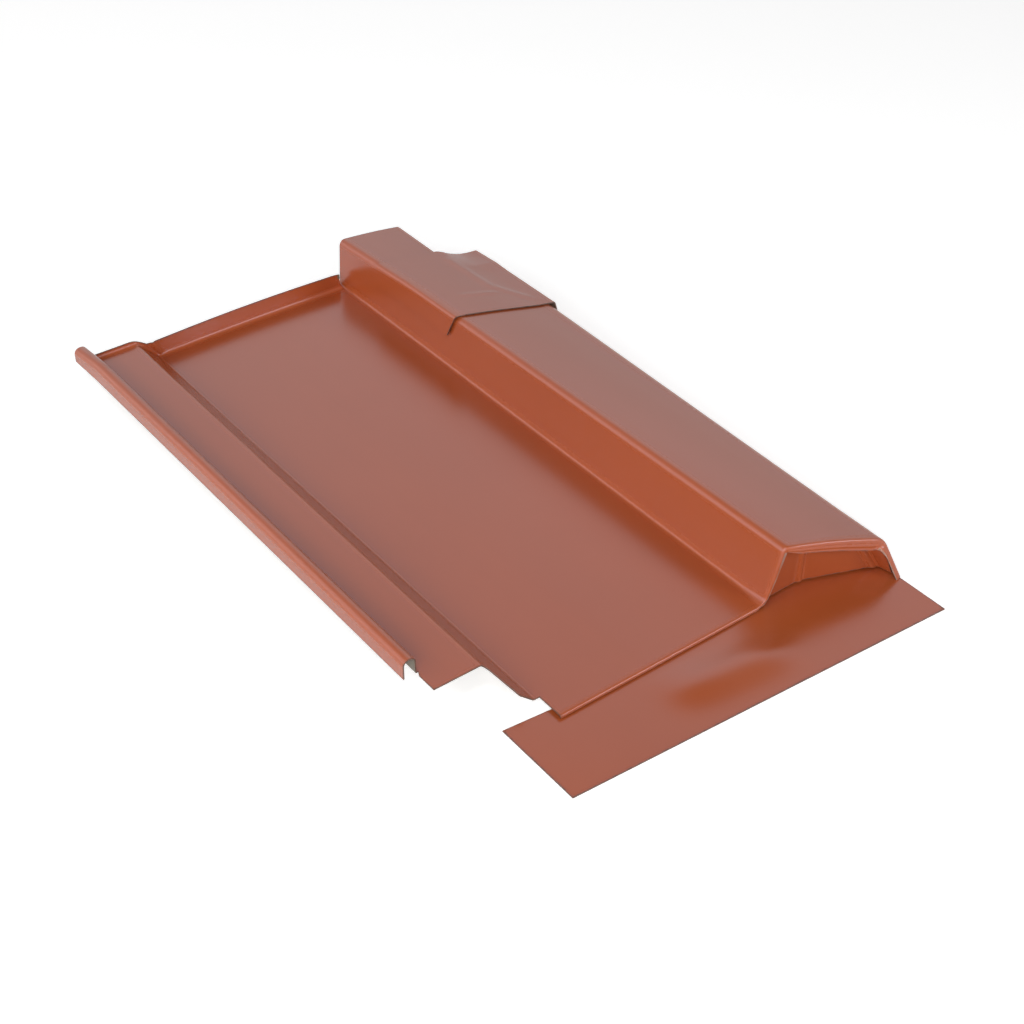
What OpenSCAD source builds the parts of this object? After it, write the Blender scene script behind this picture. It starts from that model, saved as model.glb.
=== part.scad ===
// Metal roof tile: a flat tray with a hemmed left edge, a raised box along its right edge,
// a cover patch over the box, a closing plate in the box's front end and a front apron.
// Millimetres. +X runs towards the box, +Y up the roof slope, +Z up.
// The origin is the middle of the bounding box, at the underside of the apron.

/* [Sheet] */
// Thickness of the coated sheet
sheet_t = 1; // [0.6:0.1:1.2]
// Gap left between two lapped sheets
lap_gap = 0.2; // [0.1:0.05:0.4]

/* [Pan] */
// Width of the flat pan, from the foot of the riser to the box
pan_w = 156.3; // [110:0.1:260]
// Length of the pan, from its front edge to the rear upstand
pan_l = 447; // [300:1:700]
// Height of the rear upstand above the pan
upstand_h = 12.9; // [8:0.1:25]
// Height of the rear upstand above the side strip
strip_upstand_h = 3.9; // [3:0.1:12]
// How far the roll and the box run on behind the upstand
tail_l = 6.5; // [2:0.5:15]
// Drop of the pan's front lip
lip_drop = 2; // [1.8:0.1:6]

/* [Side strip and roll] */
// Rise of the side strip above the pan
strip_rise = 15; // [5:0.5:20]
// Run of the sloping riser between pan and strip
riser_run = 16.2; // [12:0.1:30]
// Width of the flat strip
strip_w = 31.7; // [20:0.1:60]
// Width of the rolled edge
roll_w = 7.6; // [6:0.1:14]
// Height of the rolled edge above the strip
roll_h = 12; // [8:0.5:20]
// How much lower the rolled edge is pressed at its rear end
roll_press = 3; // [0:0.1:4]
// How far the rolled edge's free leg stands out at its rear end
roll_splay = 0.8; // [0:0.1:2]
// How far the rolled edge's free leg reaches below the strip
roll_leg = 0.5; // [0:0.1:3]

/* [Front left notch] */
// Distance from the pan's front edge back to the end of the riser
riser_setback = 17.5; // [8:0.5:30]
// Distance from the pan's front edge back to the strip
strip_setback = 44; // [32:1:70]
// Distance from the pan's front edge back to the roll
roll_setback = 60.7; // [50:0.1:100]
// Share of the riser's run that is left in front of the strip, at the riser's front end
riser_left = 0.6; // [0.5:0.01:0.65]
// Share of the riser's run that is left where the notch meets the strip
riser_left_rear = 0.77; // [0.66:0.01:0.85]
// Depth of the rounding in the notch's inner corner
notch_round = 5.4; // [2:0.1:8]
// Width of pan cut away in front of the riser
pan_cut = 4; // [1.5:0.5:8]

/* [Box] */
// Height of the box above the pan
box_h = 37.5; // [28:0.5:60]
// How much lower the top is at the rear end of the tail
tail_dip = 1.7; // [0:0.1:4]
// Lean of the left wall at the front end
lean_front = 10.6; // [0:0.1:14]
// Lean of the left wall where the box narrows
lean_mid = 6.1; // [0:0.1:14]
// Lean of the left wall at the rear end
lean_rear = 2.1; // [0:0.1:14]
// Width across the top at the front end
top_w_front = 64.7; // [52:0.1:90]
// Width across the top where the box narrows
top_w_rear = 80.6; // [66:0.1:100]
// Width across the top of the narrow tail
tail_w = 54.1; // [40:0.1:60]
// Fall of the top to the right, for each unit of width
top_fall = 0.2; // [0:0.01:0.22]
// The same along the narrow tail, at its rear end
tail_fall = 0.13; // [0:0.01:0.22]
// Rise of the top's middle above that slope, at the front end
top_crown = 1.7; // [0:0.1:2.5]
// The same where the box narrows, and along the tail
rear_crown = 0.9; // [0:0.1:2.5]
// Lean of the right wall, for each unit of height
right_lean = 0.31; // [0.15:0.01:0.5]
// The same along the narrow tail
tail_lean = 0.21; // [0.1:0.01:0.4]
// Distance from the upstand to the place where the box narrows
narrow_back = 84; // [60:1:110]
// How far the front of the top's right corner reaches past the pan's front edge
top_reach = 19; // [0:0.5:30]
// How far the foot of the box's right wall reaches past the pan's front edge
box_reach = 29; // [10:0.5:50]
// Drop of the lip along the front of the box's top, at its left end
top_lip_left = 5; // [2:0.1:8]
// Drop of the lip along the front of the box's top, at its right end
top_lip_right = 8; // [2:0.1:9]

/* [Cover patch] */
// Distance from the upstand to the patch's rear left corner
patch_back = 41.7; // [36:0.1:60]
// Length of the patch along its left edge
patch_l = 92.8; // [70:0.1:110]
// Step in the patch's rear edge, to the right of the tail
patch_step = 4; // [0:0.5:10]
// How far the patch's front edge runs forward on its way to the right
patch_reach = 5; // [0:0.5:10]
// Drop of the patch's rear right corner, beside the narrow tail
patch_dip = 2.4; // [0:0.1:4]
// Gap between the patch and the box's top
patch_gap = 0.4; // [0.4:0.1:1.5]
// Drop of the patch's left flange down the wall
patch_drop = 16; // [8:0.5:22]
// Drop of the patch's right flange
patch_drop_right = 7; // [5:0.5:14]
// Gap between the patch's left flange and the wall
flange_gap = 1.2; // [0.2:0.1:2]
// How far the patch stands out past the box's right corner
patch_overhang = 1; // [0.8:0.1:3]

/* [Closing plate] */
// Height of the closing plate at its left end
closure_h = 34; // [24:0.5:50]
// Setback of the plate behind the pan's front edge
closure_setback = 4; // [2.2:0.1:12]
// Width of the plate's left facet
facet_w = 21.2; // [15:0.1:32]
// Width of the return that ties the plate's right end to the right wall
return_l = 9.8; // [6:0.1:14]

/* [Apron] */
// How far the apron stands out to the left of the pan
apron_left = 26.3; // [10:0.1:60]
// Depth of the apron in front of the pan, at its left end
apron_depth_left = 49.4; // [30:0.1:90]
// Depth of the apron in front of the pan, at its right end
apron_depth_right = 65.2; // [40:0.1:110]
// How far the apron stands behind the pan's front edge, at its left end
apron_back = 11; // [7:0.1:25]
// Width of the seam that runs under the pan
seam_w = 14; // [10:0.5:25]

/* [Hidden] */

// Bend radii, to the middle of the sheet
roll_r = roll_w / 2 - 0.05;
foot_r = 0.9;
riser_r = 3;
fold_front_r = 6.5;
fold_rear_r = 2.5;
left_r = 4;
right_r = 8;
upstand_r = 3;
lip_r = 1.2;
patch_r = 4.5;
flange_r = 1.5;
facet_r = 3;
ARC = 5;

// Positions of the bend lines, to the middle of the sheet. x = 0 at the foot of the riser,
// y = 0 at the pan's front edge, z = 0 at the pan.
x_strip = -riser_run;
x_foot = x_strip - strip_w;
x_roll = x_foot - roll_w;
x_fold = pan_w;
y_tail = pan_l + tail_l;
y_narrow = pan_l - narrow_back;
z_seat = -lip_drop;
// The right wall's slanted edge stays a little above the seat
z_foot = z_seat + 0.4;
lap = sheet_t + lap_gap;
patch_lap = sheet_t + patch_gap;

// Length over which the box steps in to the narrow tail
flare_l = 14;
// Length of the rolled edge that is pressed lower at the rear
press_l = 30;
// The rear upstand stops this far short of the roll
upstand_gap_left = 2.4;
// Distance from the box to the place where the upstand's top corner starts to drop
upstand_corner = 10.5;
// Lean of the upstand's right end, away from the box, for each unit of height
upstand_end_lean = 0.33;
// Drop of the upstand's top corner at that end
upstand_end_drop = 2.4;
// Distance from the top's left corner to the first point across it
shoulder_w = 11;
// Width over which the top is crowned
crown_w = 66;

function unit(v) = v / norm(v);
function mix(a, b, u) = a + (b - a) * u;
function clamp(u) = max(0, min(1, u));

// The points of a bend of radius r at corner b, between legs towards a and c
function bend(a, b, c, r) =
    let (
        u = unit(a - b),
        v = unit(c - b),
        half = acos(u * v) / 2,
        middle = b + unit(u + v) * r / sin(half),
        from = b + u * r / tan(half) - middle,
        to = b + v * r / tan(half) - middle,
        turn = 180 - 2 * half
    )
    [
        for (k = [0:ARC])
            middle + (from * sin(turn * (1 - k / ARC)) + to * sin(turn * k / ARC)) / sin(turn)
    ];

// A path through corners, each [point, radius]. A radius of 0 leaves the corner as one point.
function path(corners) =
    [
        for (k = [0:len(corners) - 1])
            each corners[k][1] == 0
                ? [corners[k][0]]
                : bend(corners[k - 1][0], corners[k][0], corners[k + 1][0], corners[k][1])
    ];

// The number of a corner's first point in its path
function first_row(corners, k) =
    k == 0 ? 0 : first_row(corners, k - 1) + (corners[k - 1][1] == 0 ? 1 : ARC + 1);

// Direction of a path at point i
function along(points, i) =
    let (
        before = i > 0 ? unit(points[i] - points[i - 1]) : [0, 0],
        after = i < len(points) - 1 ? unit(points[i + 1] - points[i]) : [0, 0]
    )
    unit(before + after);

// A closed solid of even thickness around a grid of middle points with unit normals.
// keep[i][j] says which cells of the grid are sheet, and the rest is cut away.
module sheet(middle, normals, keep) {
    rows = len(middle);
    cols = len(middle[0]);
    half = sheet_t / 2;
    points = [
        for (side = [1, -1])
            for (i = [0:rows - 1])
                for (j = [0:cols - 1])
                    middle[i][j] + normals[i][j] * half * side
    ];
    below = rows * cols;
    cells = [
        for (i = [0:rows - 2])
            for (j = [0:cols - 2])
                if (keep[i][j])
                    [i, j]
    ];
    faces = [
        for (cell = cells)
            let (
                i = cell[0],
                j = cell[1],
                a = i * cols + j,
                b = a + 1,
                c = b + cols,
                d = a + cols,
                open_left = i == 0 || !keep[i - 1][j],
                open_right = i == rows - 2 || !keep[i + 1][j],
                open_front = j == 0 || !keep[i][j - 1],
                open_rear = j == cols - 2 || !keep[i][j + 1]
            )
            each concat(
                [[a, b, c], [a, c, d]],
                [[c + below, b + below, a + below], [d + below, c + below, a + below]],
                open_left ? wall(b, a, below) : [],
                open_right ? wall(d, c, below) : [],
                open_front ? wall(a, d, below) : [],
                open_rear ? wall(c, b, below) : []
            )
    ];
    polyhedron(points, faces);
}

// The two triangles that close a sheet's edge from point a to point b
function wall(a, b, below) = [[a, b, b + below], [a, b + below, a + below]];

// --- Tray ---

// Share of the way from the pan's front edge to where the box narrows, and along the tail
function wide_share(y) = clamp(y / y_narrow);
function tail_share(y) = clamp((y - y_narrow) / (y_tail - y_narrow));
function flare(y) = clamp((y - y_narrow) / flare_l);

// The box's section at y: height, left and right corners, foot of the right wall
function top_z(y) = box_h - tail_dip * tail_share(y);
function fall(y) = mix(top_fall, tail_fall, tail_share(y));
function crown(y) = mix(top_crown, rear_crown, wide_share(y));
// Height of the top at distance w from its left corner
function top_at(y, w) = top_z(y) - fall(y) * w + crown(y) * sin(180 * clamp(w / crown_w));
function lean(y) = mix(mix(lean_front, lean_mid, wide_share(y)), lean_rear, tail_share(y));
function x_left(y) = x_fold + lean(y);
function wide_right(y) = x_left(y) + mix(top_w_front, top_w_rear, wide_share(y));
// The fold at the foot of the left wall is rounder at the front
function fold_r(y) = mix(fold_front_r, fold_rear_r, wide_share(y));
x_tail = x_left(y_tail) + tail_w;
function x_top(y) = mix(wide_right(y), x_tail, flare(y));
function right_z(y) = top_at(y, x_top(y) - x_left(y));
function side_lean(y) = mix(right_lean, tail_lean, flare(y));
function x_side(y) = x_top(y) + side_lean(y) * (right_z(y) - z_foot);
function left_wall(y, u) = [mix(x_fold, x_left(y), u), top_z(y) * u];
function top_point(y, w) = [x_left(y) + w, top_at(y, w)];
// The right end of the box's front, at its foot
x_right = x_side(0);
// Everything is moved by this, so that the origin is the middle of the bounding box,
// at the underside of the apron.
shift = [
    -(x_roll - roll_splay + x_side(y_narrow)) / 2,
    (apron_depth_right - y_tail) / 2,
    lip_drop + lap
];

// Share of the riser's run to the left of which it is cut away, and the roll's top, at y
function cut_share(y) =
    y > strip_setback
        ? riser_left
        : mix(riser_left, riser_left_rear, clamp((y - riser_setback) / (strip_setback - riser_setback)));
function pressed(y) = clamp((y - y_tail) / press_l + 1);
function roll_top(y) = strip_rise + roll_h - roll_press * pressed(y);
function x_leg(y) = x_roll - roll_splay * pressed(y);
function riser_at(u) = [x_strip * u, strip_rise * u];

// Corners of the tray's section at y, from the free edge of the roll to the foot of the box
function tray_corners(y) = [
    [[x_leg(y), strip_rise - roll_leg], 0],
    [[x_leg(y), roll_top(y)], roll_r],
    [[x_foot, roll_top(y)], roll_r],
    [[x_foot, strip_rise], foot_r],
    [[x_foot + upstand_gap_left, strip_rise], 0],
    [[x_strip, strip_rise], riser_r],
    [riser_at(mix(cut_share(y), 1, 0.4)), 0],
    [riser_at(cut_share(y)), 0],
    [riser_at(riser_left * 0.65), 0],
    [riser_at(riser_left * 0.35), 0],
    [[0, 0], riser_r],
    [[pan_cut, 0], 0],
    [[x_fold - upstand_corner, 0], 0],
    [[x_fold, 0], fold_r(y)],
    [left_wall(y, 0.4), 0],
    [left_wall(y, 0.65), 0],
    [[x_left(y), top_z(y)], left_r],
    [top_point(y, shoulder_w), 0],
    each [for (u = [0.35, 0.55, 0.75]) [top_point(y, u * (x_top(y) - x_left(y))), 0]],
    [[x_top(y), right_z(y)], right_r],
    [[mix(x_top(y), x_side(y), 0.6), mix(right_z(y), z_foot, 0.6)], 0],
    [[x_side(y), z_foot], 0]
];
ROW = [for (k = [0:23]) first_row(tray_corners(0), k)];
ROWS = ROW[23] + 1;
UPSTAND_LEFT = ROW[4];
RISER_CUT = ROW[7];
PAN_CUT = ROW[11];
FOLD = ROW[13];
UPSTAND_RIGHT = FOLD + 1;
WALL_TOP = ROW[16];
LIP_START = WALL_TOP + 2;
TOP_END = ROW[21];

// Lengthwise stations: the lip, the front edge, the notch, plain stations, the upstand
LIP = 4;
FRONT = LIP;
plain = [0.25, 0.45, 0.65, 0.83];
stations = concat(
    [0, riser_setback, strip_setback, roll_setback],
    [for (u = plain) mix(roll_setback, y_narrow, u)],
    [y_narrow, y_narrow + flare_l, y_narrow + flare_l * 2.5, y_tail - press_l, pan_l - upstand_r]
);
BEND_START = FRONT + len(stations) - 1;
UP = 4;
COLS = BEND_START + UP + 2;

// The front edge runs straight across the pan, then forward on its way across the box's top
// and further forward down its right wall
function front_share(x) = clamp((x - x_left(0)) / top_w_front);
function side_share(x) = clamp((x - x_top(0)) / (x_right - x_top(0)));
function front_y(i, x) =
    i <= WALL_TOP ? 0 : -top_reach * front_share(x) - (box_reach - top_reach) * side_share(x);
// The notch has a rounded inner corner where the strip meets the riser
function strip_front_y(x) =
    let (u = clamp((x - x_strip) / (riser_run * (1 - riser_left_rear))))
    strip_setback - notch_round * (1 - sqrt(1 - u * u));

function has_lip(i) = i >= PAN_CUT && i <= FOLD || i >= LIP_START && i <= TOP_END;
function lip_drop_at(i, x) =
    i <= FOLD ? lip_drop : mix(top_lip_left, top_lip_right, front_share(x));
function is_upstand(i) = i >= UPSTAND_LEFT && i <= UPSTAND_RIGHT;
// The upstand's top edge: level over the pan, rising in a curve over the riser to the strip
function upstand_top(i, x) =
    let (u = clamp((-0.4 * riser_run - x) / (0.8 * riser_run)))
    mix(upstand_h, strip_rise + strip_upstand_h, sin(90 * u))
        - (i == UPSTAND_RIGHT ? upstand_end_drop : 0);

SECTIONS = [for (y = stations) path(tray_corners(y))];
TAIL = path(tray_corners(y_tail));

// Offset along y, offset along z and tilt of column j of the lip
function lip_at(j, drop) =
    let (turn = 90 * (LIP - j) / (LIP - 1))
    j == 0 ? [-lip_r, -drop, -90] : [-lip_r * sin(turn), -lip_r * (1 - cos(turn)), -turn];
// Offset along y, offset along z and tilt of column k of the upstand
function up_at(k, h) =
    let (turn = 90 * k / UP)
    k > UP ? [upstand_r, h, 90] : [upstand_r * sin(turn), upstand_r * (1 - cos(turn)), turn];

// A grid point of the tray's middle surface, and its lengthwise tilt
function place(i, j) =
    let (
        at_end = j > BEND_START,
        p = (at_end ? TAIL : SECTIONS[max(0, j - FRONT)])[i],
        front = front_y(i, p[0])
    )
    j < FRONT && has_lip(i)
        ? let (q = lip_at(j, lip_drop_at(i, p[0]))) [p[0], front + q[0], p[1] + q[1], q[2]]
    : j <= FRONT ? [p[0], front + j - FRONT, p[1], 0]
    : j == FRONT + 2 ? [p[0], strip_front_y(p[0]), p[1], 0]
    : !at_end ? [p[0], stations[j - FRONT], p[1], 0]
    : is_upstand(i)
        ? let (
            q = up_at(j - BEND_START, upstand_top(i, p[0]) - p[1]),
            back = i == UPSTAND_RIGHT ? upstand_end_lean * q[1] : 0
        )
        [p[0] - back, pan_l - upstand_r + q[0], p[1] + q[1], q[2]]
    : let (
        u = (j - BEND_START) / (UP + 1),
        last = SECTIONS[len(stations) - 1][i]
    )
    [
        mix(last[0], p[0], u),
        mix(pan_l - upstand_r, y_tail, u),
        mix(last[1], p[1], u),
        0
    ];

// Normal of the sheet at row i, from the section's direction and the lengthwise tilt
function tray_normal(i, j, tilt) =
    let (d = along(j > BEND_START ? TAIL : SECTIONS[max(0, j - FRONT)], i))
    unit([-d[1] * cos(tilt), -d[0] * sin(tilt), d[0] * cos(tilt)]);

function tray_keeps(i, j) =
    i < UPSTAND_LEFT - 1 ? j >= FRONT + 3
    : i == UPSTAND_LEFT - 1 ? j >= FRONT + 2 && j < BEND_START
    : i < RISER_CUT ? j >= FRONT + 2
    : i < PAN_CUT ? j >= FRONT + 1
    : i < UPSTAND_RIGHT ? true
    : i == UPSTAND_RIGHT ? j < BEND_START
    : i < LIP_START || i >= TOP_END ? j >= FRONT
    : true;

module tray_sheet() {
    placed = [for (i = [0:ROWS - 1]) [for (j = [0:COLS - 1]) place(i, j)]];
    color("sienna")
        translate(shift)
            sheet(
                [for (row = placed) [for (q = row) [q[0], q[1], q[2]]]],
                [for (i = [0:ROWS - 1]) [for (j = [0:COLS - 1]) tray_normal(i, j, placed[i][j][3])]],
                [for (i = [0:ROWS - 2]) [for (j = [0:COLS - 2]) tray_keeps(i, j)]]
            );
}

// --- Cover patch ---

y_patch_rear = pan_l - patch_back;
y_patch_front = y_patch_rear - patch_l;
PATCH_COLS = 9;
// Points of the patch's top, as shares of its width between the two bends
patch_rows = [0.12, 0.26, 0.4, 0.5, 0.56, 0.62, 0.68, 0.74, 0.82];
// The step in the patch's rear edge runs between these distances from its left corner
step_from = tail_w - 4;
step_to = tail_w + 5;
// Extra drop beside the tail, as a share of the corner's
sag = 0.8;
// Width over which the front edge runs forward, and its run back for each unit of drop
reach_w = 70;
flange_back = 0.34;
// The patch's right edge runs straight, over the place where the box narrows
patch_right = wide_right(y_narrow) + patch_overhang;
function patch_w(y) = patch_right - x_left(y);
// The patch's drop beside the tail, deepest near the tail and a little less at its right edge
function dip(y, w) =
    let (u = clamp((w - tail_w) / (patch_w(y) - tail_w)))
    patch_dip * clamp((y - y_narrow - flare_l) / (y_patch_rear - y_narrow - flare_l))
        * (u + sag * sin(180 * u));
function patch_point(y, w) = top_point(y, w) + [0, patch_lap - dip(y, w)];

function patch_corners(y) =
    let (
        tilt = lean(y) / top_z(y),
        left = patch_point(y, 0) - [sheet_t + flange_gap, 0],
        right = patch_point(y, patch_w(y))
    )
    concat(
        [
            [left - patch_drop * [tilt, 1], 0],
            [left, patch_r]
        ],
        [for (u = patch_rows) [patch_point(y, u * patch_w(y)), 0]],
        [
            [right, flange_r],
            [right + patch_drop_right * [right_lean, -1], 0]
        ]
    );
function patch_path(y) = path(patch_corners(y));
PATCH_ROWS = len(patch_path(0));

// Distance of row i from the patch's left corner, measured along the sheet
function run(points, i) = i <= 0 ? 0 : run(points, i - 1) + norm(points[i] - points[i - 1]);
CORNER = 1 + floor(ARC / 2);
patch_run = [
    for (i = [0:PATCH_ROWS - 1])
        run(patch_path(y_patch_front), i) - run(patch_path(y_patch_front), CORNER)
];
function step_share(w) = (1 - cos(180 * clamp((w - step_from) / (step_to - step_from)))) / 2;
// The front edge runs back down the left flange, and forward across the top
function patch_front(w) =
    y_patch_front - (w < 0 ? flange_back * w : patch_reach * sin(90 * clamp(w / reach_w)));
// Lengthwise position at distance w from the left corner, at share u from front to rear edge
function patch_y(w, u) = mix(patch_front(w), y_patch_rear - patch_step * step_share(w), u);

module cover_patch() {
    at_y = [
        for (w = patch_run)
            [for (j = [0:PATCH_COLS - 1]) patch_y(w, j / (PATCH_COLS - 1))]
    ];
    color("peru")
        translate(shift)
            sheet(
                [
                    for (i = [0:PATCH_ROWS - 1])
                        [for (y = at_y[i]) let (p = patch_path(y)[i]) [p[0], y, p[1]]]
                ],
                [
                    for (i = [0:PATCH_ROWS - 1])
                        [for (y = at_y[i]) let (d = along(patch_path(y), i)) [-d[1], 0, d[0]]]
                ],
                [for (i = [0:PATCH_ROWS - 2]) [for (j = [0:PATCH_COLS - 2]) true]]
            );
}

// --- Closing plate ---

closure_foot = 0.1;
// Run of the return along the left wall, and its setback behind the front edge
left_return_w = 0.5;
left_return_setback = 0.5;
left_return_r = 1.5;
// Distance from the right wall to the bend where the return starts
ridge_in = 2.1;
// How far the return stays short of the front edge
return_setback = 4;
// Run of the ridge for each unit of height, inwards and backwards, and of the return's front
// edge, backwards
ridge_turn = 0.2;
ridge_back = 0.32;
return_back = 0.17;
levels = [0, 0.25, 0.5, 0.75, 1];

// The plate's plan: a short flange along the left wall, the left facet, the long slanting facet
// and a return along the right wall. The plate leans with the walls, so its plan changes with z.
function closure_corners(z) =
    let (
        left = x_fold + lean_front * z / box_h + lap,
        right = x_right - right_lean * (z - z_seat) - lap,
        front = return_setback - box_reach,
        up = z - z_seat
    )
    [
        [[left, left_return_setback], 0],
        [[left + left_return_w, closure_setback], left_return_r],
        [[x_left(0) + facet_w, closure_setback], facet_r],
        [[right - ridge_in - ridge_turn * up, front + return_l + ridge_back * up], facet_r],
        [[right, front + return_back * up], 0]
    ];
closure_foot_path = path(closure_corners(z_seat));
CLOSURE_ROWS = len(closure_foot_path);
// The plate's height at row i follows the slope of the box's top
function closure_height(i) =
    closure_h + top_at(0, max(0, closure_foot_path[i][0] - x_left(0))) - box_h;
function closure_z(i, u) = z_seat + closure_foot + closure_height(i) * u;

module closing_plate() {
    color("saddlebrown")
        translate(shift)
            sheet(
                [
                    for (i = [0:CLOSURE_ROWS - 1])
                        [
                            for (u = levels)
                                let (z = closure_z(i, u), p = path(closure_corners(z))[i])
                                [p[0], p[1], z]
                        ]
                ],
                [
                    for (i = [0:CLOSURE_ROWS - 1])
                        [
                            for (u = levels)
                                let (d = along(path(closure_corners(closure_z(i, u))), i))
                                [d[1], -d[0], 0]
                        ]
                ],
                [for (i = [0:CLOSURE_ROWS - 2]) [for (j = [0:len(levels) - 2]) true]]
            );
}

// --- Apron ---

// The apron's left end is cut back a little where it runs under the pan
apron_taper = 3.2;
seam_x = pan_cut + 4;

module front_apron() {
    color("chocolate")
        translate([shift[0], shift[1], 0])
            linear_extrude(sheet_t)
                polygon([
                    [-apron_left, apron_back],
                    [-apron_left, -apron_depth_left],
                    [x_right, -apron_depth_right],
                    [x_right, seam_w],
                    [seam_x, seam_w],
                    [seam_x, apron_back - apron_taper]
                ]);
}

tray_sheet();
cover_patch();
closing_plate();
front_apron();
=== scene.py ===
"""Metal roof tile: four finely bent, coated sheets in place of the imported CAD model's.

Every object is in metres, in the CAD model's frame."""

import math

import bpy
import numpy as np
from mathutils import Matrix, Vector


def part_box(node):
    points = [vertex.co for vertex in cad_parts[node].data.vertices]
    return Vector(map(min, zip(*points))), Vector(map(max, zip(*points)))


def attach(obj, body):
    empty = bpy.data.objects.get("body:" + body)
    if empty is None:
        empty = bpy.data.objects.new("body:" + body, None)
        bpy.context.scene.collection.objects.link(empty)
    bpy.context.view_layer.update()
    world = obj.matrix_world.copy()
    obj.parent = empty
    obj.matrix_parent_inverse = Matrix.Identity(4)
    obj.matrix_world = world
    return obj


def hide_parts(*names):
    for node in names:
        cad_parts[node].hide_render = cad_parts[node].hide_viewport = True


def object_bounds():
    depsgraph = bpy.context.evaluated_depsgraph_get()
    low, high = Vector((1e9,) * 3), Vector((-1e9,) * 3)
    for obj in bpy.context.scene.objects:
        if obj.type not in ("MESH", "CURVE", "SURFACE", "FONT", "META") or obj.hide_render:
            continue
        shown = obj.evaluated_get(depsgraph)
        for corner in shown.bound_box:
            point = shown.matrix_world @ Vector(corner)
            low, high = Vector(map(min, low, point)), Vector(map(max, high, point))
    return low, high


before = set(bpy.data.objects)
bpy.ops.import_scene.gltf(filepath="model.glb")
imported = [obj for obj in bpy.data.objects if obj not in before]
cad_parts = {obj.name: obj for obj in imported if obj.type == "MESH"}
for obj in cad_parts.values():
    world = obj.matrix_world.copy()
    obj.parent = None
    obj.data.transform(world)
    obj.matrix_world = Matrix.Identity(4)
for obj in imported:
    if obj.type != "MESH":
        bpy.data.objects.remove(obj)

cad_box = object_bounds()
MM = 0.001

# --- Camera ---

CAMERA_AT = (-0.523853, -0.712911, 0.672700)
CAMERA_RIGHT = Vector((0.79554, -0.60589, 0.00434))
CAMERA_UP = Vector((0.37169, 0.49366, 0.78623))
LENS = 61.25


def add_camera():
    data = bpy.data.cameras.new("camera")
    data.lens = LENS
    data.sensor_width = 36
    data.clip_end = 50
    camera = bpy.data.objects.new("camera", data)
    back = CAMERA_RIGHT.cross(CAMERA_UP)
    camera.matrix_world = Matrix.Translation(CAMERA_AT) @ Matrix(
        (CAMERA_RIGHT, CAMERA_UP, back)
    ).transposed().to_4x4()
    bpy.context.scene.collection.objects.link(camera)
    bpy.context.scene.camera = camera


add_camera()

# --- The tile's sizes in millimetres, as the CAD has them ---
# x runs to the right from the riser's foot, y to the rear from the pan's front edge, and z up
# from the pan.

SHEET_T = 1.0
LIP_DROP = 2.0
LAP_GAP, FOOT_CLEAR = 0.2, 0.4

# Pan, side strip, riser and upstand
PAN_W, PAN_L, TAIL_L = 156.3, 447.0, 6.5
STRIP_RISE, RISER_RUN, STRIP_W = 15.0, 16.2, 31.7
UPSTAND_H, STRIP_UPSTAND_H = 12.9, 3.9
UPSTAND_GAP_LEFT, UPSTAND_CORNER = 2.4, 10.5
# How far the front ends of riser, strip and roll stand back, and the cut-out between them
RISER_SETBACK, STRIP_SETBACK, ROLL_SETBACK = 17.5, 44.0, 60.7
RISER_LEFT, RISER_LEFT_REAR, NOTCH_ROUND, PAN_CUT_W = 0.6, 0.77, 5.4, 4.0

# Rolled left edge, pressed flatter over its last PRESS_L
ROLL_W, ROLL_H, ROLL_LEG = 7.6, 12.0, 0.5
ROLL_PRESS, ROLL_SPLAY, PRESS_L = 3.0, 0.8, 30.0

# Box: its left wall's lean, its top, its right wall, and how far it reaches past the pan
BOX_H, TAIL_DIP = 37.5, 1.7
LEAN_FRONT, LEAN_MID, LEAN_REAR = 10.6, 6.1, 2.1
TOP_W_FRONT, TOP_W_REAR, TAIL_W, SHOULDER_W = 64.7, 80.6, 54.1, 11.0
TOP_FALL, TAIL_FALL, TOP_CROWN, REAR_CROWN, CROWN_W = 0.2, 0.13, 1.7, 0.9, 66.0
RIGHT_LEAN, TAIL_LEAN, NARROW_BACK, FLARE_L = 0.31, 0.21, 84.0, 14.0
TOP_REACH, BOX_REACH = 19.0, 29.0
TOP_LIP_LEFT, TOP_LIP_RIGHT = 5.0, 8.0

# Cover patch
PATCH_BACK, PATCH_L, PATCH_STEP, PATCH_REACH, REACH_W = 41.7, 92.8, 4.0, 5.0, 70.0
PATCH_DIP, SAG, PATCH_DROP, PATCH_DROP_RIGHT = 2.4, 0.8, 16.0, 7.0
FLANGE_GAP, FLANGE_BACK, PATCH_OVERHANG = 1.2, 0.34, 1.0

# Closing plate
CLOSURE_H, CLOSURE_SETBACK, FACET_W, RETURN_L = 34.0, 4.0, 21.2, 9.8

# Apron
APRON_LEFT, APRON_DEPTH_LEFT, APRON_DEPTH_RIGHT = 26.3, 49.4, 65.2
APRON_BACK, SEAM_W, APRON_TAPER = 11.0, 14.0, 3.2

# Radii of the bends
ROLL_R, FOOT_R, RISER_R, FOLD_FRONT_R, FOLD_REAR_R = ROLL_W / 2 - 0.05, 0.9, 3.0, 6.5, 2.5
LEFT_R, RIGHT_R, UPSTAND_R, LIP_R = 4.0, 8.0, 3.0, 1.2
FLANGE_R, FACET_R = 1.5, 3.0

# --- Sizes that only the visible sheets have, or that differ a little from the CAD's ---

VISIBLE_T = 0.8
# The fold between pan and box has its larger radius only over this length at the front
FOLD_ROUND = 30.0
# How far the strip's right edge runs to the right by the rear, and its loose corner to the left
STRIP_TURN, STRIP_OUT = 1.8, 1.4
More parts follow.
